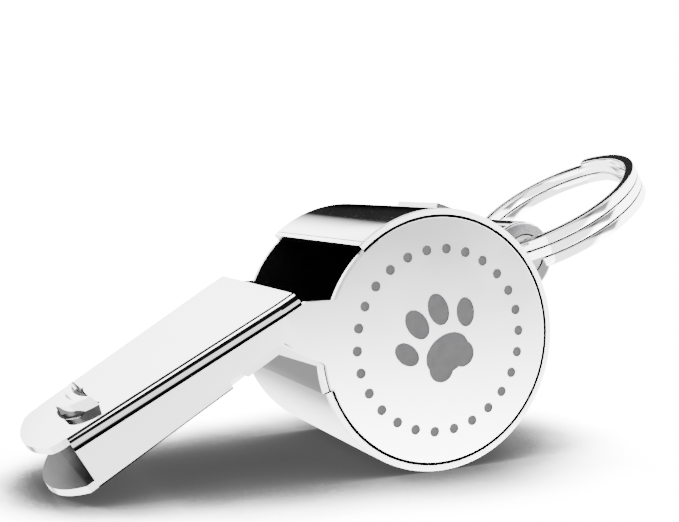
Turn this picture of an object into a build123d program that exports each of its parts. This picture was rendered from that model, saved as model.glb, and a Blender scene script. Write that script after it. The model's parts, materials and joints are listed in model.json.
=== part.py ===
from build123d import *

import os
from math import asin, atan2, cos, degrees, hypot, radians, sin

# Pea whistle pressed from sheet steel, lying on a table (millimetres).
# +X runs from the mouthpiece to the lanyard ring, Y is the barrel's axis, the table is Z = 0.

# ---- driving dimensions ----
SHEET = 0.6
BARREL_R = 11.0
HALF_WIDTH = 9.5
EDGE_ROUND = 0.12
DISC_ROUND = 0.22
# How far a cutting shape overruns what it cuts, and how near counts as the same place.
OVERRUN = 1.0
CLOSE = 0.01

# The mouthpiece frame: s runs from the barrel's axis to the tip, t runs up across the mouthpiece.
LIP_ANGLE = 78.1
WRAPPER_END = 371.3
WINDOW_END = 8.8
NOTCH_ANGLE = 52.4
NOTCH_S = 8.4
TAPER_START = 10.4
SIDE_END = 29.0
END_HALF_WIDTH = 7.3
TOP_T = 10.4
BEND_R = 1.0
TOP_TONGUE_END = 31.66
TOP_TONGUE_BULGE = 1.46
TOP_TONGUE_CORNER_R = 1.2
LOWER_TONGUE_END = 32.0
LOWER_TONGUE_BULGE = 2.3
LOWER_TIP_T = 5.9
NECK_S = 12.4
NECK_T = 7.1
NECK_INNER_S = 12.0
NECK_ANGLE = 24.0
TAIL_ANGLE = 12.0
TAIL_STEP = 0.25
RELIEF_S = 16.0
RELIEF_LENGTH = 1.4

# The tooth stop, a crescent raised across the mouthpiece's top.
STOP_HALF_WIDTH = 3.8
STOP_REAR_S = 25.4
STOP_HOLLOW_S = 26.2
STOP_FRONT_S = 28.2
STOP_HEIGHT = 0.9
STOP_TAPER = 8.0
STOP_SINK = 0.1

# The air channel's floor, which turns down at the throat.
CHANNEL_END = 27.0
CHANNEL_T = 6.9
CHANNEL_SHEET = 0.4
CHANNEL_GAP = 0.05
THROAT = (9.4, 8.3)
THROAT_UNDER = (9.95, 7.87)
THROAT_FOOT = (9.75, 5.4)
THROAT_FOOT_UNDER = (10.2, 5.4)

LUG_ANGLE = 27.0
LUG_HALF_WIDTH = 3.7
LUG_SHEET = 0.65
LUG_ARCH_R = 3.3
LUG_ARCH_CENTRE = 13.4
LUG_EYE_R = 1.9
LUG_EYE_CENTRE = 13.8
LUG_FOOT_ANGLE = 48.0
LUG_FLARE_R = 2.2
LUG_ROUND = 0.3

RING_PIVOT_R = 12.5
RING_TILT = 31.0
RING_MEAN_R = 8.15
WIRE_BREADTH = 0.9
WIRE_HEIGHT = 0.93
COIL_GAP = 0.08
CROSSING_WIDTH = 3.0

PEA_R = 4.6
PEA_DROP = 5.4

ENGRAVING_DEPTH = 0.15
INFILL = 0.08
BORDER_R = 7.65
DOT_R = 0.43
DOT_COUNT = 26
PAD_RADII = (2.15, 1.6)
PAD_DROP = 1.3
LOBE_R = 1.15
LOBE_DROP = 2.1
# Each toe: distance out, height, lean in degrees, and its two radii.
TOES = ((1.15, 2.35, 8, 0.95, 1.4), (3.2, 0.75, 24, 0.85, 1.25))

# ---- worked out from them ----
DISC_R = BARREL_R - SHEET
BEND_T = TOP_T - BEND_R
# The barrel and the lower tongue both touch the table, which sets the mouthpiece's slope.
MOUTH_ANGLE = degrees(
    asin(BARREL_R / hypot(LOWER_TONGUE_END, LOWER_TIP_T)) + atan2(LOWER_TIP_T, LOWER_TONGUE_END)
)
ALONG = Vector(-cos(radians(MOUTH_ANGLE)), 0, -sin(radians(MOUTH_ANGLE)))
ACROSS = Vector(-sin(radians(MOUTH_ANGLE)), 0, cos(radians(MOUTH_ANGLE)))
RING_HALF_HEIGHT = 1.5 * WIRE_HEIGHT + COIL_GAP
RING_OUTER_R = RING_MEAN_R + WIRE_BREADTH / 2
RING_INNER_R = RING_MEAN_R - WIRE_BREADTH / 2


def polar(radius, angle):
    return (radius * cos(radians(angle)), radius * sin(radians(angle)))


# The barrel stands where the whole length, tongue to ring, is centred on X = 0.
PIVOT_X, PIVOT_Z = polar(RING_PIVOT_R, LUG_ANGLE)
REACH_X, REACH_Z = polar(RING_MEAN_R, RING_TILT)
RING_FAR_X = polar(RING_OUTER_R, RING_TILT)[0] + RING_HALF_HEIGHT * sin(radians(RING_TILT))
RING_END_X = PIVOT_X + REACH_X + RING_FAR_X
TIP_X = (ALONG * TOP_TONGUE_END + ACROSS * TOP_T).X
BARREL_X = -(RING_END_X + TIP_X) / 2

AXIS = Vector(BARREL_X, 0, BARREL_R)
PIVOT = AXIS + Vector(PIVOT_X, 0, PIVOT_Z)
RING_CENTRE = PIVOT + Vector(REACH_X, 0, REACH_Z)
SECTION = Plane(origin=AXIS, x_dir=ALONG, z_dir=(0, 1, 0))
PLAN = Plane(origin=AXIS, x_dir=ALONG, z_dir=ACROSS)
FACE = Plane(origin=AXIS - Vector(0, HALF_WIDTH, 0), x_dir=-ALONG, z_dir=(0, -1, 0))


def half_width(s):
    """Half the outside width of the tapered mouthpiece."""
    slope = (HALF_WIDTH - END_HALF_WIDTH) / (SIDE_END - TAPER_START)
    return HALF_WIDTH - slope * max(0.0, s - TAPER_START)


def lower_t(s):
    """Height of the mouthpiece's under surface."""
    return NECK_T + (LOWER_TIP_T - NECK_T) * (s - NECK_S) / (LOWER_TONGUE_END - NECK_S)


def band(start, end, outer, inner, sign=1):
    """A strip seen in plan that follows the taper, between two insets from the outside."""
    with BuildSketch(PLAN) as strip:
        with BuildLine():
            Polyline(
                (start, -sign * (half_width(start) - outer)),
                (TAPER_START, -sign * (half_width(TAPER_START) - outer)),
                (end, -sign * (half_width(end) - outer)),
                (end, -sign * (half_width(end) - inner)),
                (TAPER_START, -sign * (half_width(TAPER_START) - inner)),
                (start, -sign * (half_width(start) - inner)),
                close=True,
            )
        make_face()
    return strip.sketch


def footprint(start, end, bulge, inset):
    """The whole tapered outline seen in plan, inset from the outside, its end bulging to the tip."""
    corner = end - bulge
    with BuildSketch(PLAN) as outline:
        with BuildLine():
            Polyline(
                (corner, half_width(corner) - inset),
                (TAPER_START, HALF_WIDTH - inset),
                (start, HALF_WIDTH - inset),
                (start, inset - HALF_WIDTH),
                (TAPER_START, inset - HALF_WIDTH),
                (corner, inset - half_width(corner)),
            )
            ThreePointArc(
                (corner, inset - half_width(corner)), (end, 0), (corner, half_width(corner) - inset)
            )
        make_face()
    return outline.sketch


def side_outline():
    """Disc and mouthpiece arm in one, with the window's notch above the disc."""
    with BuildSketch(SECTION) as outline:
        Circle(DISC_R)
        with BuildLine():
            Polyline(
                polar(DISC_R, NOTCH_ANGLE),
                (NOTCH_S, BEND_T),
                (SIDE_END, BEND_T),
                (SIDE_END, lower_t(SIDE_END) + SHEET),
                (NECK_INNER_S, NECK_T + SHEET),
                polar(DISC_R + TAIL_STEP, NECK_ANGLE),
            )
            CenterArc((0, 0), DISC_R + TAIL_STEP, NECK_ANGLE, TAIL_ANGLE - NECK_ANGLE)
            Polyline(
                polar(DISC_R + TAIL_STEP, TAIL_ANGLE),
                polar(DISC_R - OVERRUN, TAIL_ANGLE),
                polar(DISC_R, NOTCH_ANGLE),
            )
        make_face()
    return outline.sketch


def side_plate(sign):
    """One side of the whistle, flat over the barrel and turned inward along the mouthpiece."""
    with BuildPart() as plate:
        extrude(side_outline(), amount=HALF_WIDTH + OVERRUN, both=True)
        wall = band(-BARREL_R, SIDE_END + OVERRUN, 0, SHEET, sign)
        extrude(wall, amount=BARREL_R, both=True, mode=Mode.INTERSECT)
        outer_y = sign * HALF_WIDTH
        arcs = plate.edges().filter_by(GeomType.CIRCLE)
        fillet(arcs.filter_by_position(Axis.Y, outer_y - CLOSE, outer_y + CLOSE), DISC_ROUND)
    return plate.part


def paw_print():
    """A plain paw print: one broad pad and four toes."""
    with BuildSketch(FACE) as paw:
        with Locations((0, -PAD_DROP)):
            Ellipse(*PAD_RADII)
        with Locations((-LOBE_R, -LOBE_DROP), (LOBE_R, -LOBE_DROP)):
            Circle(LOBE_R)
        for side in (-1, 1):
            for out, up, lean, breadth, length in TOES:
                with Locations(Location((side * out, up), side * -lean)):
                    Ellipse(breadth, length)
    return paw.sketch


def dot_border():
    with BuildSketch(FACE) as dots:
        with PolarLocations(BORDER_R, DOT_COUNT):
            Circle(DOT_R)
    return dots.sketch


# ---- side plates ----
with BuildPart() as side_plate_left:
    add(side_plate(-1))
    extrude(paw_print(), amount=-ENGRAVING_DEPTH, mode=Mode.SUBTRACT)
    extrude(dot_border(), amount=-ENGRAVING_DEPTH, mode=Mode.SUBTRACT)

with BuildPart() as side_plate_right:
    add(side_plate(1))

# Dark lacquer on the floor of the engraving.
with BuildPart() as engraving_infill:
    extrude(paw_print(), amount=-ENGRAVING_DEPTH)
    extrude(dot_border(), amount=-ENGRAVING_DEPTH)
    with BuildSketch(FACE):
        Circle(DISC_R)
    extrude(amount=INFILL - ENGRAVING_DEPTH, mode=Mode.SUBTRACT)

# ---- barrel wrapper: one strip bent round the discs, open from the window's lip to the tail ----
with BuildPart() as barrel_wrapper:
    with BuildSketch(SECTION):
        with BuildLine():
            Line(polar(DISC_R, LIP_ANGLE), polar(BARREL_R, LIP_ANGLE))
            CenterArc((0, 0), BARREL_R, LIP_ANGLE, WRAPPER_END - LIP_ANGLE)
            Line(polar(BARREL_R, WRAPPER_END), polar(DISC_R, WRAPPER_END))
            CenterArc((0, 0), DISC_R, LIP_ANGLE, WRAPPER_END - LIP_ANGLE)
        make_face()
    extrude(amount=HALF_WIDTH, both=True)
    fillet(barrel_wrapper.edges().filter_by(GeomType.CIRCLE), EDGE_ROUND)


# ---- mouthpiece ----
def cap_profile(s):
    """The top plate's section: flat, with both long edges bent down round the side plates."""
    half = half_width(s)
    plane = Plane(origin=AXIS + ALONG * s, x_dir=(0, -1, 0), z_dir=ALONG)
    inner_r = BEND_R - SHEET
    with BuildSketch(plane) as profile:
        with BuildLine():
            CenterArc((BEND_R - half, BEND_T), BEND_R, 180, -90)
            Line((BEND_R - half, TOP_T), (half - BEND_R, TOP_T))
            CenterArc((half - BEND_R, BEND_T), BEND_R, 90, -90)
            Line((half, BEND_T), (half - SHEET, BEND_T))
            CenterArc((half - BEND_R, BEND_T), inner_r, 0, 90)
            Line((half - BEND_R, TOP_T - SHEET), (BEND_R - half, TOP_T - SHEET))
            CenterArc((BEND_R - half, BEND_T), inner_r, 90, 90)
            Line((SHEET - half, BEND_T), (-half, BEND_T))
        make_face()
    return profile.sketch


with BuildPart() as mouthpiece_top:
    loft([cap_profile(WINDOW_END), cap_profile(TAPER_START), cap_profile(SIDE_END)], ruled=True)
    tongue_half = END_HALF_WIDTH - BEND_R
    tongue_corner = TOP_TONGUE_END - TOP_TONGUE_BULGE
    with BuildSketch(PLAN.offset(TOP_T - SHEET)) as tongue:
        with BuildLine():
            Polyline(
                (tongue_corner, tongue_half),
                (SIDE_END - OVERRUN, tongue_half),
                (SIDE_END - OVERRUN, -tongue_half),
                (tongue_corner, -tongue_half),
            )
            ThreePointArc((tongue_corner, -tongue_half), (TOP_TONGUE_END, 0), (tongue_corner, tongue_half))
        make_face()
        fillet(tongue.vertices().sort_by(Axis.X)[-2:], TOP_TONGUE_CORNER_R)
    extrude(amount=SHEET)
    stop_left = (STOP_REAR_S, -STOP_HALF_WIDTH)
    stop_right = (STOP_REAR_S, STOP_HALF_WIDTH)
    with BuildSketch(PLAN.offset(TOP_T - STOP_SINK)):
        with BuildLine():
            ThreePointArc(stop_left, (STOP_FRONT_S, 0), stop_right)
            ThreePointArc(stop_right, (STOP_HOLLOW_S, 0), stop_left)
        make_face()
    extrude(amount=STOP_HEIGHT + STOP_SINK, taper=STOP_TAPER)

with BuildPart() as mouthpiece_bottom:
    with BuildSketch(SECTION):
        with BuildLine():
            Polyline(
                polar(BARREL_R + TAIL_STEP, NECK_ANGLE),
                (NECK_S, NECK_T),
                (LOWER_TONGUE_END, LOWER_TIP_T),
                (LOWER_TONGUE_END, LOWER_TIP_T + SHEET),
                (NECK_INNER_S, NECK_T + SHEET),
                polar(DISC_R + TAIL_STEP, NECK_ANGLE),
            )
            CenterArc((0, 0), DISC_R + TAIL_STEP, NECK_ANGLE, TAIL_ANGLE - NECK_ANGLE)
            Line(polar(DISC_R + TAIL_STEP, TAIL_ANGLE), polar(BARREL_R + TAIL_STEP, TAIL_ANGLE))
            CenterArc((0, 0), BARREL_R + TAIL_STEP, TAIL_ANGLE, NECK_ANGLE - TAIL_ANGLE)
        make_face()
    extrude(amount=HALF_WIDTH + OVERRUN, both=True)
    extrude(footprint(0, LOWER_TONGUE_END, LOWER_TONGUE_BULGE, 0), amount=BARREL_R, mode=Mode.INTERSECT)
    # A relief notch in each long edge, where the neck's bend begins.
    relief_y = half_width(RELIEF_S)
    with BuildSketch(PLAN):
        with Locations((RELIEF_S, relief_y), (RELIEF_S, -relief_y)):
            Rectangle(RELIEF_LENGTH, 2 * SHEET)
    extrude(amount=BARREL_R, mode=Mode.SUBTRACT)

with BuildPart() as windway_floor:
    with BuildSketch(SECTION):
        with BuildLine():
            Polyline(
                (CHANNEL_END, CHANNEL_T),
                (CHANNEL_END, CHANNEL_T + CHANNEL_SHEET),
                THROAT,
                THROAT_FOOT,
                THROAT_FOOT_UNDER,
                THROAT_UNDER,
                close=True,
            )
        make_face()
    extrude(amount=HALF_WIDTH, both=True)
    channel = footprint(0, SIDE_END, LOWER_TONGUE_BULGE, SHEET + CHANNEL_GAP)
    extrude(channel, amount=BARREL_R, mode=Mode.INTERSECT)

# ---- lanyard lug: a hump with an eye through it, its feet lying on the barrel ----
LUG = Plane(
    origin=AXIS, x_dir=(cos(radians(LUG_ANGLE)), 0, sin(radians(LUG_ANGLE))), z_dir=(0, -1, 0)
)
with BuildPart() as ring_lug:
    with BuildSketch(LUG) as strap:
        foot_r = BARREL_R + LUG_SHEET
        with BuildLine():
            Line((0, 0), polar(foot_r, -LUG_FOOT_ANGLE))
            CenterArc((0, 0), foot_r, -LUG_FOOT_ANGLE, 2 * LUG_FOOT_ANGLE)
            Line(polar(foot_r, LUG_FOOT_ANGLE), (0, 0))
        make_face()
        with Locations((LUG_ARCH_CENTRE / 2, 0)):
            Rectangle(LUG_ARCH_CENTRE, 2 * LUG_ARCH_R)
        with Locations((LUG_ARCH_CENTRE, 0)):
            Circle(LUG_ARCH_R)
        shoulders = strap.vertices().filter_by(
            lambda corner: hypot(*(corner.center() - AXIS)) < LUG_ARCH_CENTRE
            and abs(abs(LUG.to_local_coords(corner.center()).Y) - LUG_ARCH_R) < CLOSE
        )
        fillet(shoulders, LUG_FLARE_R)
        Circle(BARREL_R, mode=Mode.SUBTRACT)
        with Locations((LUG_EYE_CENTRE / 2, 0)):
            Rectangle(LUG_EYE_CENTRE, 2 * LUG_EYE_R, mode=Mode.SUBTRACT)
        with Locations((LUG_EYE_CENTRE, 0)):
            Circle(LUG_EYE_R, mode=Mode.SUBTRACT)
    extrude(amount=LUG_HALF_WIDTH, both=True)
    # The hump's outer edges are rounded; the feet keep their square edges.
    fillet(
        ring_lug.edges().filter_by(GeomType.CIRCLE).filter_by(
            lambda edge: min(abs(edge.radius - LUG_ARCH_R), abs(edge.radius - LUG_FLARE_R)) < CLOSE
        ),
        LUG_ROUND,
    )

# ---- split ring: flat wire wound two and a half times round ----
RING = Plane(
    origin=RING_CENTRE,
    x_dir=(cos(radians(RING_TILT)), 0, sin(radians(RING_TILT))),
    z_dir=(-sin(radians(RING_TILT)), 0, cos(radians(RING_TILT))),
)


# Each layer: its height above the ring's middle plane, its thickness, and where across the ring it lies.
# Three turns lie on the near side and two on the far side; the wire climbs between them in the middle strip.
PITCH = WIRE_HEIGHT + COIL_GAP
BEYOND = 2 * RING_OUTER_R
layers = [(-RING_HALF_HEIGHT, 2 * RING_HALF_HEIGHT, -CROSSING_WIDTH / 2, CROSSING_WIDTH / 2)]
for level in (-1, 0, 1):
    layers.append((level * PITCH - WIRE_HEIGHT / 2, WIRE_HEIGHT, -BEYOND, 0))
for level in (-0.5, 0.5):
    layers.append((level * PITCH - WIRE_HEIGHT / 2, WIRE_HEIGHT, 0, BEYOND))

with BuildPart() as split_ring:
    for height, thickness, nearest, farthest in layers:
        with BuildSketch(RING.offset(height)):
            Circle(RING_OUTER_R)
            Circle(RING_INNER_R, mode=Mode.SUBTRACT)
            with Locations((0, nearest - RING_OUTER_R), (0, farthest + RING_OUTER_R)):
                Rectangle(BEYOND + OVERRUN, BEYOND, mode=Mode.SUBTRACT)
        extrude(amount=thickness)

# ---- pea ----
with BuildPart() as pea:
    with Locations(AXIS - Vector(0, 0, PEA_DROP)):
        Sphere(PEA_R)

pieces = {
    "side_plate_left": side_plate_left,
    "side_plate_right": side_plate_right,
    "engraving_infill": engraving_infill,
    "barrel_wrapper": barrel_wrapper,
    "mouthpiece_top": mouthpiece_top,
    "mouthpiece_bottom": mouthpiece_bottom,
    "windway_floor": windway_floor,
    "ring_lug": ring_lug,
    "split_ring": split_ring,
    "pea": pea,
}
os.makedirs("parts", exist_ok=True)
for name, piece in pieces.items():
    piece.part.label = name
    export_step(piece.part, f"parts/{name}.step")
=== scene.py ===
import json
import math

import bmesh
import bpy
from mathutils import Matrix, Vector, noise


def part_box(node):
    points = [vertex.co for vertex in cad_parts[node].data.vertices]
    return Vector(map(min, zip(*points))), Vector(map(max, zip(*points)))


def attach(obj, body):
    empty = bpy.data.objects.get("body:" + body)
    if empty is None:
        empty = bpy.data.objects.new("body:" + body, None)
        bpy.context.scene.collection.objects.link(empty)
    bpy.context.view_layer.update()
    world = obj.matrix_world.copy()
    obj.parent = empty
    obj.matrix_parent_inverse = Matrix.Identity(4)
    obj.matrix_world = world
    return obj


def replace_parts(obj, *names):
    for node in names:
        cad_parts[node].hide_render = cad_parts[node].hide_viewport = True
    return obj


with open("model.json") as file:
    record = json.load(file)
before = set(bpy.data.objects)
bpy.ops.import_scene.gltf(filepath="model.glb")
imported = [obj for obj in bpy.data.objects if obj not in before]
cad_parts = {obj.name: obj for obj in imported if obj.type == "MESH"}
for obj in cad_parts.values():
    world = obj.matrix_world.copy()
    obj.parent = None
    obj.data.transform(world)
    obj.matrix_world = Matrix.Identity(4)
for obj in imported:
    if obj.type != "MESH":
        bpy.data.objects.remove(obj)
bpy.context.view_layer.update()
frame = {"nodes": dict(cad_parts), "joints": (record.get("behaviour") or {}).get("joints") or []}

MM = 0.001

# ---- the whistle's own measures, in millimetres and degrees ----
wrapper_low, wrapper_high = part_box("barrel_wrapper")
BARREL_R = (wrapper_high.z - wrapper_low.z) / 2 / MM
HALF_WIDTH = wrapper_high.y / MM
AXIS = Vector((wrapper_high.x / MM - BARREL_R, 0, BARREL_R))
DISC_R = BARREL_R - 0.6
TAIL_R = DISC_R + 0.25
LIP_ANGLE, NECK_ANGLE, TAIL_ANGLE = 78.1, 24.0, 12.0
MOUTH_ANGLE = math.radians(30.205)
WINDOW_END, TAPER_START, SIDE_END = 8.8, 10.4, 29.0
END_HALF_WIDTH = 7.3
TOP_T, BEND_T = 10.4, 9.4
LOWER_TONGUE_END, LOWER_TIP_T = 32.0, 5.9
NECK_S, NECK_T = 12.4, 7.1
ALONG = Vector((-math.cos(MOUTH_ANGLE), 0, -math.sin(MOUTH_ANGLE)))
ACROSS = Vector((-math.sin(MOUTH_ANGLE), 0, math.cos(MOUTH_ANGLE)))
joints = {joint["name"]: joint for joint in frame["joints"]}
RING_PIVOT = Vector(joints["ring_swing"]["pos_m"]) / MM
RING_TILT = math.radians(31.0)
RING_MEAN_R = 8.15
WIRE_BREADTH, WIRE_HEIGHT, COIL_GAP = 0.9, 0.93, 0.08
WIRE_CORNER, WIRE_STEPS, GAP_HALF = 0.1, 600, 0.09


def at(s, t, y):
    """A point of the mouthpiece frame in metres: s towards the tip, t up across it."""
    x = AXIS.x - s * math.cos(MOUTH_ANGLE) - t * math.sin(MOUTH_ANGLE)
    z = AXIS.z - s * math.sin(MOUTH_ANGLE) + t * math.cos(MOUTH_ANGLE)
    return Vector((x, y, z)) * MM


def half_width(s):
    slope = (HALF_WIDTH - END_HALF_WIDTH) / (SIDE_END - TAPER_START)
    return HALF_WIDTH - slope * max(0.0, s - TAPER_START)


def lower_t(s):
    return NECK_T + (LOWER_TIP_T - NECK_T) * (s - NECK_S) / (LOWER_TONGUE_END - NECK_S)


def arc(radius, start, end, count):
    angles = [math.radians(start + (end - start) * i / count) for i in range(count + 1)]
    return [(radius * math.cos(a), radius * math.sin(a)) for a in angles]


# ---- materials ----
def node_material(name):
    material = bpy.data.materials.new(name)
    material.use_nodes = True
    shader = material.node_tree.nodes["Principled BSDF"]
    return material, shader


def add_node(material, kind, **inputs):
    node = material.node_tree.nodes.new(kind)
    for key, value in inputs.items():
        node.inputs[key.replace("_", " ")].default_value = value
    return node


def mottled(material, noise_node, darker, lighter):
    """The output of a mix between two colours, by a noise node."""
    tint = add_node(material, "ShaderNodeMix")
    tint.data_type = "RGBA"
    tint.inputs[6].default_value = (*darker, 1)
    tint.inputs[7].default_value = (*lighter, 1)
    material.node_tree.links.new(noise_node.outputs["Fac"], tint.inputs[0])
    return tint.outputs[2]


GLOSS_WEAR, SCRATCH = 0.03, 0.02


def steel(name, colour, roughness):
    """Polished steel: a mirror with faint smears in its gloss and fine polishing lines."""
    material, shader = node_material(name)
    link = material.node_tree.links.new
    shader.inputs["Metallic"].default_value = 1.0
    place = add_node(material, "ShaderNodeTexCoord")
    smear = add_node(material, "ShaderNodeTexNoise", Scale=260.0, Detail=3.0, Roughness=0.6)
    link(place.outputs["Object"], smear.inputs["Vector"])
    gloss = add_node(material, "ShaderNodeMapRange")
    gloss.inputs["To Min"].default_value = max(0.0, roughness - GLOSS_WEAR)
    gloss.inputs["To Max"].default_value = roughness + GLOSS_WEAR
    link(smear.outputs["Fac"], gloss.inputs["Value"])
    link(gloss.outputs["Result"], shader.inputs["Roughness"])
    if colour:
        link(mottled(material, smear, [c * 0.96 for c in colour], colour), shader.inputs["Base Color"])
    lines = add_node(material, "ShaderNodeTexNoise", Scale=9000.0, Detail=2.0)
    link(place.outputs["Object"], lines.inputs["Vector"])
    bump = add_node(material, "ShaderNodeBump", Strength=SCRATCH, Distance=0.00001)
    link(lines.outputs["Fac"], bump.inputs["Height"])
    link(bump.outputs["Normal"], shader.inputs["Normal"])
    return material


def fill_ramp(ramp, stops):
    elements = ramp.color_ramp.elements
    while len(elements) < len(stops):
        elements.new(0.5)
    for element, (position, grey) in zip(elements, stops):
        element.position = position
        element.color = (grey, grey, grey, 1)


def cork():
    """Pressed cork: light grain with dark specks and open pores."""
    material, shader = node_material("cork")
    link = material.node_tree.links.new
    place = add_node(material, "ShaderNodeTexCoord")
    grain = add_node(material, "ShaderNodeTexVoronoi", Scale=900.0)
    link(place.outputs["Object"], grain.inputs["Vector"])
    specks = add_node(material, "ShaderNodeTexNoise", Scale=1500.0, Detail=4.0)
    link(place.outputs["Object"], specks.inputs["Vector"])
    ramp = add_node(material, "ShaderNodeValToRGB")
    ramp.color_ramp.elements[0].position = 0.32
    ramp.color_ramp.elements[0].color = (0.16, 0.08, 0.035, 1)
    ramp.color_ramp.elements[1].position = 0.52
    ramp.color_ramp.elements[1].color = (0.52, 0.33, 0.18, 1)
    link(specks.outputs["Fac"], ramp.inputs["Fac"])
    link(ramp.outputs["Color"], shader.inputs["Base Color"])
    shader.inputs["Roughness"].default_value = 0.9
    bump = add_node(material, "ShaderNodeBump", Strength=0.6, Distance=0.0001)
    link(grain.outputs["Distance"], bump.inputs["Height"])
    link(bump.outputs["Normal"], shader.inputs["Normal"])
    return material


def dark_lacquer_and_painted_shade(name, colour, roughness, shine):
    """Thin dark film, a little uneven in tone: real lacquer in the engraving, painted shade in the dark lines.
    """
    material, shader = node_material(name)
    link = material.node_tree.links.new
    place = add_node(material, "ShaderNodeTexCoord")
    mottle = add_node(material, "ShaderNodeTexNoise", Scale=1200.0, Detail=3.0)
    link(place.outputs["Object"], mottle.inputs["Vector"])
    darker, lighter = [c * 0.8 for c in colour], [c * 1.2 for c in colour]
    link(mottled(material, mottle, darker, lighter), shader.inputs["Base Color"])
    shader.inputs["Roughness"].default_value = roughness
    shader.inputs["Specular IOR Level"].default_value = shine
    return material


def painted_shade_tongue_steel():
    """Steel under the lip with painted shade: black inside the air channel, lighter towards the tongue's end,
    ramped by position along the mouthpiece.
    """
    material = steel("tongue_painted_shade_steel", None, 0.5)
    tree = material.node_tree
    shader = tree.nodes["Principled BSDF"]
    shader.inputs["Metallic"].default_value = 0.0
    shader.inputs["Specular IOR Level"].default_value = 0.2
    place = next(node for node in tree.nodes if node.bl_idname == "ShaderNodeTexCoord")
    reach = add_node(material, "ShaderNodeVectorMath")
    reach.operation = "DOT_PRODUCT"
    reach.inputs[1].default_value = ALONG
    tree.links.new(place.outputs["Object"], reach.inputs[0])
    low, high = ((AXIS * MM).dot(ALONG) + s * MM for s in (29.0, LOWER_TONGUE_END))
    share = add_node(material, "ShaderNodeMapRange", From_Min=low, From_Max=high)
    tree.links.new(reach.outputs["Value"], share.inputs["Value"])
    # Painted shade: the colour runs from black inside the channel to grey at the tongue's end.
    ramp = add_node(material, "ShaderNodeValToRGB")
    fill_ramp(ramp, [(0.0, 0.001), (0.19, 0.002), (0.24, 0.07), (0.6, 0.12), (1.0, 0.2)])
    tree.links.new(share.outputs["Result"], ramp.inputs["Fac"])
    tree.links.new(ramp.outputs["Color"], shader.inputs["Base Color"])
    return material


BRIGHT = steel("polished_steel", (0.93, 0.93, 0.935), 0.05)
SATIN = steel("satin_steel", (0.93, 0.93, 0.935), 0.22)
# Painted shade: a dark copy of the steel for faces inside the whistle.
INNER_PAINTED_SHADE = steel("inner_painted_shade_steel", (0.10, 0.10, 0.105), 0.3)
TONGUE_PAINTED_SHADE = painted_shade_tongue_steel()
RIM = steel("brushed_rim", (0.95, 0.95, 0.95), 0.5)
# Painted shade: a dark copy of the steel for the lug's side faces.
LUG_SIDE_PAINTED_SHADE = steel("lug_side_painted_shade_steel", (0.16, 0.16, 0.165), 0.25)
INFILL = dark_lacquer_and_painted_shade("engraving_lacquer", (0.10, 0.10, 0.103), 0.55, 0.2)
# Painted shade: near-black lines laid in seams, along edges and between coils.
SEAM_PAINTED_SHADE = dark_lacquer_and_painted_shade("seam_shadow", (0.002, 0.002, 0.0022), 0.5, 0.0)
# Painted light on the tooth stop: a dark painted reflection for its front, a grey painted shade for its rear.
STOP_FRONT_PAINTED_REFLECTION = steel("stop_front_painted_dark_reflection", (0.07, 0.07, 0.073), 0.25)
STOP_REAR_PAINTED_SHADE = steel("stop_rear_painted_grey_shade", (0.42, 0.42, 0.425), 0.25)
CORK = cork()


def assign_looks(name, node_looks, pick=None):
    """Gives a CAD node its materials, real finishes and painted shade among them, and each face the one that
    pick chooses.
    """
    mesh = frame["nodes"][name].data
    mesh.materials.clear()
    for node_look in node_looks:
        mesh.materials.append(node_look)
    if pick:
        for face in mesh.polygons:
            face.material_index = int(pick(face.center / MM, face.normal))


def faces_axis(centre, normal):
    return (AXIS - centre).normalized().dot(Vector((normal.x, 0, normal.z))) > 0.5


LUG_OUT = Vector((math.cos(math.radians(27.0)), 0, math.sin(math.radians(27.0))))
LUG_UP = Vector((-LUG_OUT.z, 0, LUG_OUT.x))
LUG_HALF_WIDTH, EYE_R, EYE_CENTRE = 3.7, 1.9, 13.8


def in_lug_eye(centre):
    """True on the inner surface of the lug's eye."""
    out, up = (centre - AXIS).dot(LUG_OUT), (centre - AXIS).dot(LUG_UP)
    return abs(up) < EYE_R + 0.05 and out < EYE_CENTRE + EYE_R + 0.05


EDGE_FROM, EDGE_TO = 0.12, 0.985


def rim_or_inside(inward):
    """Picks the rounded rim (1) and the inner face (2) of a side plate."""
    return lambda centre, normal: 2 if normal.y * inward > 0.5 else int(EDGE_FROM < abs(normal.y) < EDGE_TO)


# Inner faces get the painted-shade dark steel: the side plates' insides, the wrapper's inside, the top plate's
# underside and the windway floor.
assign_looks("side_plate_left", [SATIN, RIM, INNER_PAINTED_SHADE], rim_or_inside(1))
assign_looks("side_plate_right", [SATIN, RIM, INNER_PAINTED_SHADE], rim_or_inside(-1))
assign_looks("engraving_infill", [INFILL])
assign_looks(
    "barrel_wrapper", [BRIGHT, RIM, INNER_PAINTED_SHADE],
    lambda centre, normal: 2 if faces_axis(centre, normal) else int(abs(normal.y) > EDGE_FROM),
)
assign_looks("mouthpiece_top", [BRIGHT, INNER_PAINTED_SHADE], lambda centre, normal: normal.dot(ACROSS) < -0.5)
# The tongue's top face gets the painted-shade steel.
assign_looks("mouthpiece_bottom", [BRIGHT, TONGUE_PAINTED_SHADE], lambda centre, normal: normal.dot(ACROSS) > 0.5)
assign_looks("windway_floor", [INNER_PAINTED_SHADE])
# The lug's side faces get painted shade in dark steel.
assign_looks(
    "ring_lug", [BRIGHT, LUG_SIDE_PAINTED_SHADE, RIM],
    lambda centre, normal: 1 if abs(normal.y) > 0.9 else 2 * in_lug_eye(centre),
)
assign_looks("split_ring", [BRIGHT])
assign_looks("pea", [CORK])


# ---- camera ----
def look_from(position, back, right, up, focal):
    camera = bpy.data.cameras.new("camera")
    camera.lens = focal
    camera.sensor_width = 36
    camera.clip_start = 0.005
    holder = bpy.data.objects.new("camera", camera)
    turn = Matrix((right, up, back)).transposed()
    holder.matrix_world = Matrix.Translation(position) @ turn.to_4x4()
    bpy.context.scene.collection.objects.link(holder)
    bpy.context.scene.camera = holder


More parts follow.
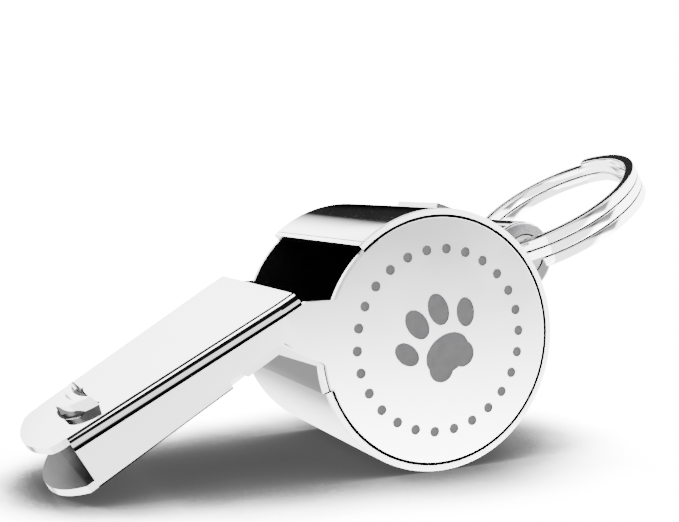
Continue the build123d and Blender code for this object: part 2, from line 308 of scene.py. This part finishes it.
CAMERA_FROM_AXIS = Vector((-44.83, -88.79, 13.76))
BACK = Vector((-0.4095, -0.9091, 0.0774)).normalized()
RIGHT = Vector((0.9114, -0.4114, -0.0114)).normalized()
look_from((AXIS + CAMERA_FROM_AXIS) * MM, BACK, RIGHT, BACK.cross(RIGHT), 58.43)


# ---- pieces ----
def add_piece(name, mesh, material, body):
    mesh.materials.append(material)
    thing = bpy.data.objects.new(name, mesh)
    bpy.context.scene.collection.objects.link(thing)
    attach(thing, body)
    return thing


def skin(name, rings):
    """A smooth mesh over rings of points, in metres, capped at both ends."""
    form = bmesh.new()
    grid = [[form.verts.new(point) for point in ring] for ring in rings]
    count = len(grid[0])
    for here, beside in zip(grid, grid[1:]):
        for j in range(count):
            k = (j + 1) % count
            form.faces.new((here[j], beside[j], beside[k], here[k]))
    form.faces.new(grid[0])
    form.faces.new(grid[-1])
    bmesh.ops.remove_doubles(form, verts=form.verts, dist=1e-7)
    bmesh.ops.recalc_face_normals(form, faces=form.faces)
    for face in form.faces:
        face.smooth = True
    mesh = bpy.data.meshes.new(name)
    form.to_mesh(mesh)
    form.free()
    return mesh


ROUND = [2 * math.pi * k / 8 for k in range(8)]
RIBBON_DEPTH = 0.08


def tube(name, points, radius):
    """A thin round line of painted shade along one side of the whistle."""
    rings = []
    for i, point in enumerate(points):
        before, after = points[max(i - 1, 0)], points[min(i + 1, len(points) - 1)]
        along = (after - before).normalized()
        first = along.cross(Vector((0, 1, 0))).normalized()
        second = along.cross(first)
        rings.append([point + (first * math.cos(a) + second * math.sin(a)) * radius * MM for a in ROUND])
    add_piece(name, skin(name, rings), SEAM_PAINTED_SHADE, "whistle")


def cross_tube(name, points, radius):
    """A thin round line of painted shade across the whistle, from side to side."""
    rings = [[point + Vector((math.cos(a), 0, math.sin(a))) * radius * MM for a in ROUND] for point in points]
    add_piece(name, skin(name, rings), SEAM_PAINTED_SHADE, "whistle")


def ribbon(name, inner, outer, deep, side):
    """A flat line of painted shade between two edge lines of the mouthpiece frame, deep below the outer face.
    """
    rings = []
    for (s1, t1), (s2, t2) in zip(inner, outer):
        y1, y2 = half_width(s1) - deep, half_width(s2) - deep
        rings.append([
            at(s1, t1, side * y1), at(s2, t2, side * y2),
            at(s2, t2, side * (y2 - RIBBON_DEPTH)), at(s1, t1, side * (y1 - RIBBON_DEPTH)),
        ])
    add_piece(name, skin(name, rings), SEAM_PAINTED_SHADE, "whistle")


SEAM_HALF, SEAM_STEPS = 0.12, 240
ARM_SEAM = 0.26
LINE_R, EYE_LINE_R, LIP_LINE_R, STOP_LINE_R = 0.06, 0.07, 0.045, 0.05
FOLD_START = (11.6, 7.62)
LOW_EDGE_S = 16.7
EYE_FOOT = 10.9
LIP_LINE_HALF = 9.35


def side_lines(side, name):
    """The dark lines of one side, painted shade along seams and edges: round the disc, along the arm, at the
    neck and round the lug's eye.
    """
    inner = arc(DISC_R - SEAM_HALF - 0.03, TAIL_ANGLE - 1, LIP_ANGLE - 360, SEAM_STEPS)
    outer = arc(DISC_R + SEAM_HALF, TAIL_ANGLE - 1, LIP_ANGLE - 360, SEAM_STEPS)
    ribbon(f"seam_disc_{name}", inner, outer, 0.002, side)
    stations = (WINDOW_END, TAPER_START, SIDE_END)
    low, high = ([(s, t) for s in stations] for t in (BEND_T, BEND_T + ARM_SEAM))
    ribbon(f"seam_arm_{name}", low, high, -0.01, side)
    fold = [FOLD_START, *arc(TAIL_R, NECK_ANGLE, TAIL_ANGLE, 8)]
    tube(f"seam_neck_{name}", [at(s, t, side * (half_width(s) - 0.04)) for s, t in fold], LINE_R)
    edge = [(s, lower_t(s)) for s in (SIDE_END, LOW_EDGE_S)]
    tube(f"edge_arm_{name}", [at(s, t + 0.01, side * (half_width(s) - 0.01)) for s, t in edge], LINE_R)
    curve = [(EYE_CENTRE + u, v) for u, v in arc(EYE_R, -90, 90, 24)]
    eye = [(EYE_FOOT, -EYE_R), *curve, (EYE_FOOT, EYE_R)]
    beside = Vector((0, side * (LUG_HALF_WIDTH - 0.03), 0))
    tube(
        f"lug_eye_line_{name}", [(AXIS + LUG_OUT * u + LUG_UP * v + beside) * MM for u, v in eye],
        EYE_LINE_R,
    )


side_lines(-1, "left")
side_lines(1, "right")

# Painted shade: a thin near-black line just above the lip's edge.
LIP_LINE = math.radians(LIP_ANGLE + 2.4)
lip_point = ((BARREL_R - 0.02) * math.cos(LIP_LINE), (BARREL_R - 0.02) * math.sin(LIP_LINE))
cross_tube("lip_line", [at(*lip_point, y) for y in (-LIP_LINE_HALF, 0.0, LIP_LINE_HALF)], LIP_LINE_R)

# The tooth stop: its rear edge along the mouthpiece, its half width, and how far each edge bows.
STOP_REAR_S, STOP_HALF = 25.3, 3.25
STOP_FRONT_BOW, STOP_RIDGE_BOW, STOP_REAR_BOW = 3.0, 1.6, 0.25
STOP_HEIGHT, STOP_SUNK = 0.95, 0.15


def tooth_stop():
    """The raised crescent: it slopes up from its front to a ridge, and is hollowed behind it."""
    rings = []
    for i in range(41):
        turn = math.pi * (i / 40 - 0.5)
        bow, side = math.cos(turn), math.sin(turn)
        across = math.copysign(abs(side) ** 0.8, side)
        front = (STOP_REAR_S + STOP_FRONT_BOW * bow ** 0.55, STOP_HALF * across, 0.0)
        ridge = (
            STOP_REAR_S + STOP_RIDGE_BOW * bow ** 0.7, 0.9 * STOP_HALF * across, STOP_HEIGHT * bow ** 0.6,
        )
        rear = (STOP_REAR_S + STOP_REAR_BOW * bow, STOP_HALF * side, 0.0)
        ring = [at(front[0], TOP_T - STOP_SUNK, front[1])]
        for start, end, power in ((front, ridge, 0.8), (ridge, rear, 1.0)):
            for k in range(9):
                share = k / 8
                lift = share ** power if end is ridge else (share + share * share) / 2
                s, y = (start[n] + (end[n] - start[n]) * share for n in (0, 1))
                ring.append(at(s, TOP_T + start[2] + (end[2] - start[2]) * lift, y))
        ring.append(at(rear[0], TOP_T - STOP_SUNK, rear[1]))
        rings.append(ring)
    mesh = skin("tooth_stop", rings)
    # Front faces get the dark painted reflection, rear faces the grey painted shade.
    add_piece("tooth_stop", mesh, STOP_FRONT_PAINTED_REFLECTION, "whistle")
    mesh.materials.append(STOP_REAR_PAINTED_SHADE)
    for face in mesh.polygons:
        face.material_index = int(face.normal.dot(ALONG) < 0.2 and abs(face.normal.y) < 0.7)


tooth_stop()
# Painted shadow: a thin near-black line along the stop's rear base.
turns = [math.pi * (k / 24 - 0.5) for k in range(25)]
rear_line = [(STOP_REAR_S + STOP_REAR_BOW * math.cos(a), STOP_HALF * math.sin(a)) for a in turns]
cross_tube("stop_line", [at(s, TOP_T + 0.01, y) for s, y in rear_line], STOP_LINE_R)


def split_ring():
    """One flat wire wound two and a half times round: three turns on the near side, two on the far side."""
    along = Vector((math.cos(RING_TILT), 0, math.sin(RING_TILT)))
    upward = Vector((-math.sin(RING_TILT), 0, math.cos(RING_TILT)))
    centre = RING_PIVOT + along * RING_MEAN_R
    pitch = WIRE_HEIGHT + COIL_GAP
    # Where the wire's height changes: angle round the ring, height in pitches.
    heights = [
        (-140, -1), (-12, -1), (12, -0.5), (150, -0.5), (190, 0), (348, 0), (372, 0.5), (510, 0.5),
        (550, 1), (745, 1),
    ]
    first_degree, last_degree = heights[0][0], heights[-1][0]

    def height_at(degree):
        for (start, low), (end, high) in zip(heights, heights[1:]):
            if degree <= end:
                part = (degree - start) / (end - start)
                return low + (high - low) * part * part * (3 - 2 * part)
        return heights[-1][1]

    def ring_point(degree, x, z):
        turn = math.radians(degree)
        out = along * math.cos(turn) + Vector((0, 1, 0)) * math.sin(turn)
        return (centre + out * (RING_MEAN_R + x) + upward * z) * MM

    outline = []
    for cx, cz, first in ((1, 1, 0), (-1, 1, 90), (-1, -1, 180), (1, -1, 270)):
        for u, v in arc(WIRE_CORNER, first, first + 90, 3):
            x, z = cx * (WIRE_BREADTH / 2 - WIRE_CORNER) + u, cz * (WIRE_HEIGHT / 2 - WIRE_CORNER) + v
            outline.append((x, z))
    rings = []
    for i in range(WIRE_STEPS + 1):
        degree = first_degree + (last_degree - first_degree) * i / WIRE_STEPS
        thin = (0.82, 0.96, 1.0)[min(i, WIRE_STEPS - i, 2)]
        rise = height_at(degree) * pitch
        rings.append([ring_point(degree, x * thin, rise + z * thin) for x, z in outline])
    wire = skin("split_ring_wire", rings)
    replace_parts(add_piece("split_ring_wire", wire, BRIGHT, "split_ring"), "split_ring")
    # Painted shade: near-black strips laid in the gaps between the coils.
    for name, level, start, end in (("low", -0.5, -138, -14), ("middle", 0, 14, 148), ("high", 0.5, 192, 346)):
        rings = []
        for i in range(91):
            degree = start + (end - start) * i / 90
            corners = ((1, 1), (-1, 1), (-1, -1), (1, -1))
            edge = [(x * (WIRE_BREADTH / 2 - 0.03), level * pitch + z * GAP_HALF) for x, z in corners]
            rings.append([ring_point(degree, x, z) for x, z in edge])
        shade = skin(f"ring_gap_{name}", rings)
        add_piece(f"ring_gap_{name}", shade, SEAM_PAINTED_SHADE, "split_ring")


split_ring()


def cork_pea():
    """A cork ball with small hollows where grains have come away."""
    low, high = (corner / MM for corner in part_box("pea"))
    centre, radius = (low + high) / 2, (high.x - low.x) / 2
    form = bmesh.new()
    bmesh.ops.create_icosphere(form, subdivisions=6, radius=radius)
    for vertex in form.verts:
        way = vertex.co.normalized()
        grain = noise.noise(way * 5.5) * 0.5 + noise.noise(way * 14) * 0.3 + noise.noise(way * 30) * 0.2
        vertex.co = (centre + way * (radius - 0.1 - 0.16 * max(0.0, grain))) * MM
    for face in form.faces:
        face.smooth = True
    mesh = bpy.data.meshes.new("cork_pea")
    form.to_mesh(mesh)
    form.free()
    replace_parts(add_piece("cork_pea", mesh, CORK, "pea"), "pea")


cork_pea()


# ---- studio ----
def math_node(tree, operation, first, second):
    node = tree.nodes.new("ShaderNodeMath")
    node.operation = operation
    for socket, value in zip(node.inputs, (first, second)):
        if isinstance(value, (int, float)):
            socket.default_value = value
        else:
            tree.links.new(value, socket)
    return node.outputs["Value"]


def step_node(tree, value, low, high, start=0.0, end=1.0):
    """A smooth step from start to end as the value goes from low to high."""
    node = tree.nodes.new("ShaderNodeMapRange")
    node.interpolation_type = "SMOOTHSTEP"
    for socket, number in zip(("From Min", "From Max", "To Min", "To Max"), (low, high, start, end)):
        node.inputs[socket].default_value = number
    tree.links.new(value, node.inputs["Value"])
    return node.outputs["Result"]


def blend_node(tree, share, first, second):
    """first where the share is 0, second where it is 1."""
    kept = math_node(tree, "MULTIPLY", first, math_node(tree, "SUBTRACT", 1.0, share))
    return math_node(tree, "ADD", kept, math_node(tree, "MULTIPLY", second, share))


def floor():
    """White glowing floor with a painted shadow, dark where the object shuts out the light; the metal doesn't
    mirror it.
    """
    mesh = bpy.data.meshes.new("floor")
    form = bmesh.new()
    bmesh.ops.create_circle(form, cap_ends=True, radius=0.6, segments=96)
    form.to_mesh(mesh)
    form.free()
    thing = bpy.data.objects.new("floor", mesh)
    bpy.context.scene.collection.objects.link(thing)
    material = bpy.data.materials.new("floor_white_painted_shadow")
    material.use_nodes = True
    tree = material.node_tree
    tree.nodes.clear()
    painted_shadow_ao = tree.nodes.new("ShaderNodeAmbientOcclusion")
    painted_shadow_ao.samples = 16
    painted_shadow_ao.inputs["Distance"].default_value = 0.0145
    ramp = tree.nodes.new("ShaderNodeValToRGB")
    # Painted shadow: the floor's glow drops where the occlusion measure finds the object close.
    fill_ramp(ramp, [(0.0, 0.004), (0.4, 0.008), (0.62, 0.02), (0.78, 0.12), (0.88, 0.6), (0.94, 1.0)])
    tree.links.new(painted_shadow_ao.outputs["AO"], ramp.inputs["Fac"])
    path = tree.nodes.new("ShaderNodeLightPath")
    seen = tree.nodes.new("ShaderNodeEmission")
    seen.inputs["Strength"].default_value = EYE_WHITE
    tree.links.new(ramp.outputs["Color"], seen.inputs["Color"])
    unseen = tree.nodes.new("ShaderNodeBsdfTransparent")
    mix = tree.nodes.new("ShaderNodeMixShader")
    tree.links.new(path.outputs["Is Camera Ray"], mix.inputs["Fac"])
    tree.links.new(unseen.outputs["BSDF"], mix.inputs[1])
    tree.links.new(seen.outputs["Emission"], mix.inputs[2])
    out = tree.nodes.new("ShaderNodeOutputMaterial")
    tree.links.new(mix.outputs["Shader"], out.inputs["Surface"])
    mesh.materials.append(material)


EYE_WHITE = 17.0
FILL_LIGHT = 2.0
BRIGHTEST = 16.0

# What the metal mirrors, by height above the horizon in degrees. Behind the object there are dark gaps
# low down and above the lit wall; in front the floor brightens towards the object, under a lit wall.
BEHIND = [
    (-90, 5.0), (-3, 5.0), (-0.5, 0.05), (1, 0.02), (8, 0.02), (12, 4.0), (14, 6.0), (24, 7.0),
    (25.5, 6.0), (27, 0.03), (54, 0.03), (57, 8.0), (90, 8.0),
]
IN_FRONT = [
    (-90, 16.0), (-16, 15.0), (-13, 12.0), (-11.3, 7.0), (-8.6, 1.3), (-5, 0.75), (-2, 0.55), (0, 0.5),
    (6, 0.5), (12, 0.8), (15, 8.0), (43, 9.0), (47, 0.03), (90, 0.03),
]


def studio_world():
    """White to the eye; the metal mirrors lit walls with dark gaps between them."""
    world = bpy.data.worlds.new("studio")
    world.use_nodes = True
    bpy.context.scene.world = world
    tree = world.node_tree
    link = tree.links.new
    place = tree.nodes.new("ShaderNodeTexCoord")
    split = tree.nodes.new("ShaderNodeSeparateXYZ")
    link(place.outputs["Generated"], split.inputs["Vector"])
    right, back, up = split.outputs
    height = math_node(tree, "MULTIPLY_ADD", up, 0.5)
    height.node.inputs[2].default_value = 0.5
    walls = []
    for stops in (BEHIND, IN_FRONT):
        ramp = tree.nodes.new("ShaderNodeValToRGB")
        lights = [(0.5 + math.sin(math.radians(angle)) / 2, light / BRIGHTEST) for angle, light in stops]
        fill_ramp(ramp, lights)
        link(height, ramp.inputs["Fac"])
        walls.append(ramp.outputs["Color"])
    # Behind, the wall ends to the right above the horizon; below it, the light falls away to the left.
    not_high = step_node(tree, up, 0.38, 0.44, 1.0, 0.0)
    low = math_node(tree, "MULTIPLY", not_high, step_node(tree, back, 0.6, 0.8))
    above = blend_node(tree, low, 1.0, step_node(tree, right, 0.05, 0.26, 1.0, 0.004))
    from_left = step_node(tree, right, -0.25, 0.2, 0.08, 1.0)
    below = blend_node(tree, step_node(tree, up, -0.5, -0.42), 1.0, from_left)
    side = blend_node(tree, step_node(tree, up, -0.02, 0.02), below, above)
    behind = math_node(tree, "MULTIPLY", walls[0], side)
    # In front, the floor is a little darker straight ahead than to the right.
    ahead = math_node(tree, "MULTIPLY", walls[1], step_node(tree, right, 0.16, 0.37, 0.22, 1.0))
    left_part = blend_node(tree, step_node(tree, back, 0.08, 0.2), ahead, behind)
    # To the far right everything is lit.
    mirrored = blend_node(tree, step_node(tree, right, 0.58, 0.7), left_part, 0.5)
    path = tree.nodes.new("ShaderNodeLightPath")
    shades = {}
    for name, strength in (("eye", EYE_WHITE), ("fill", FILL_LIGHT), ("mirror", BRIGHTEST)):
        shades[name] = tree.nodes.new("ShaderNodeBackground")
        shades[name].inputs["Color"].default_value = (1, 1, 1, 1)
        shades[name].inputs["Strength"].default_value = strength
    link(mirrored, shades["mirror"].inputs["Color"])
    metal = tree.nodes.new("ShaderNodeMixShader")
    link(path.outputs["Is Glossy Ray"], metal.inputs["Fac"])
    link(shades["fill"].outputs["Background"], metal.inputs[1])
    link(shades["mirror"].outputs["Background"], metal.inputs[2])
    eye = tree.nodes.new("ShaderNodeMixShader")
    link(path.outputs["Is Camera Ray"], eye.inputs["Fac"])
    link(metal.outputs["Shader"], eye.inputs[1])
    link(shades["eye"].outputs["Background"], eye.inputs[2])
    link(eye.outputs["Shader"], tree.nodes["World Output"].inputs["Surface"])


floor()
studio_world()
